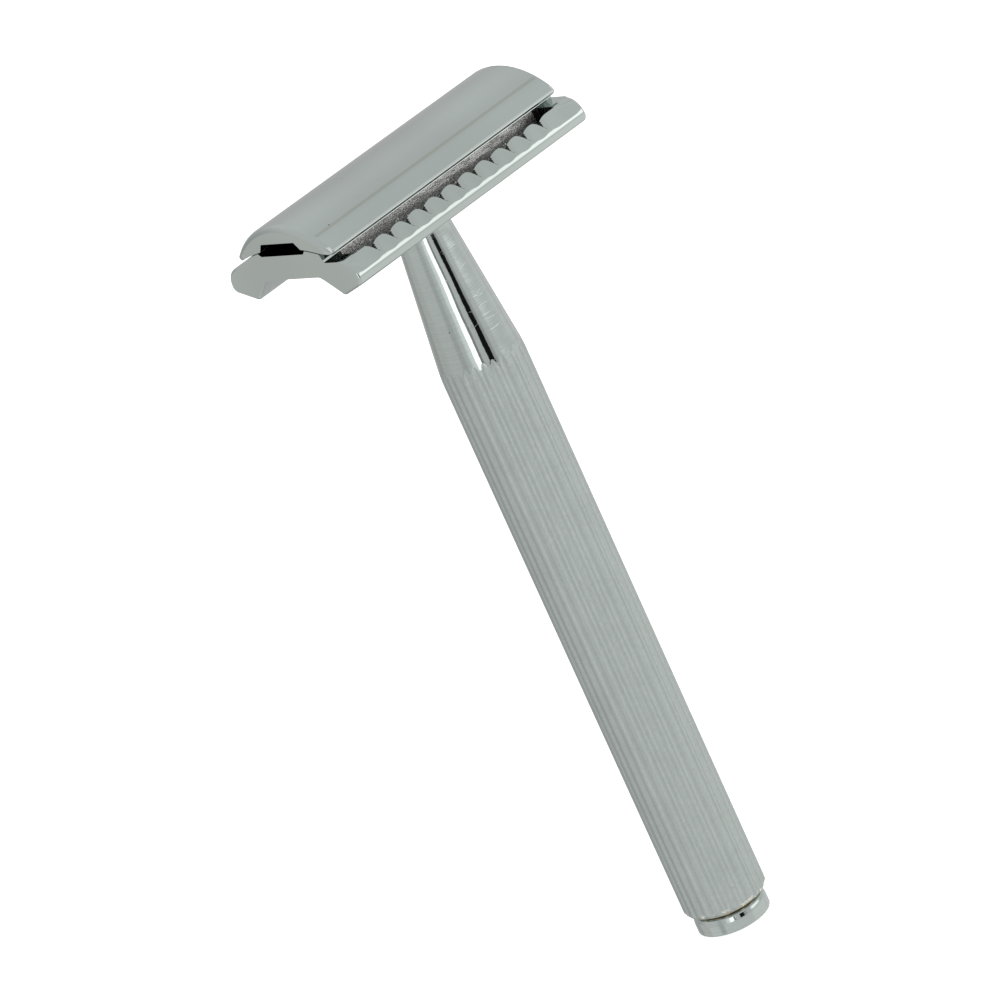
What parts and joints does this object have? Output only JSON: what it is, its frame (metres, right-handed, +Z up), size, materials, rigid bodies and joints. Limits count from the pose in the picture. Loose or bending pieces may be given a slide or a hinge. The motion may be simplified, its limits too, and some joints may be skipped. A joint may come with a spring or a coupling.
{
  "type": "safety razor",
  "caption": "Twist-knob double-edge safety razor: curved cap over a base plate with scalloped safety bars, on a tapered neck and a long fluted grip.",
  "frame": {"origin": "centre of the knob's flat bottom, on which the razor stands", "axes": "+Z up the handle to the head, +X along the blade edges, +Y across them"},
  "size_m": [0.041, 0.024, 0.1091],
  "materials": {
    "polished_chrome": "mirror-polished chrome plate over a die casting",
    "satin_chrome": "chrome-plated brass tube with a satin fluted grip and a polished neck",
    "steel": "turned steel, nickel plated",
    "brass": "turned brass, unplated"
  },
  "bodies": {
    "handle": {"base_plate": "polished_chrome", "neck_ferrule": "brass", "handle_tube": "satin_chrome", "bottom_bush": "brass", "thrust_washer": "brass", "clip_washer": "brass"},
    "drawbar": {"draw_rod": "steel", "rod_socket": "brass", "socket_pin": "steel", "retaining_clip": "steel", "knob": "polished_chrome", "knob_pin": "steel"},
    "cap": {"cap": "polished_chrome", "cap_stud": "steel", "cap_pins": "polished_chrome"}
  },
  "joints": [
    {"name": "knob_turn", "type": "hinge", "parent": "handle", "child": "drawbar", "pos_m": [0, 0, 0], "axis": [0, 0, -1], "range_deg": [0, 2880]},
    {"name": "cap_lift", "type": "slide", "parent": "handle", "child": "cap", "axis": [0, 0, 1], "range_m": [0, 0.0056]}
  ],
  "couplings": [
    {"joint": "knob_turn", "follows": "cap_lift", "rad_per_m": 8976}
  ]
}
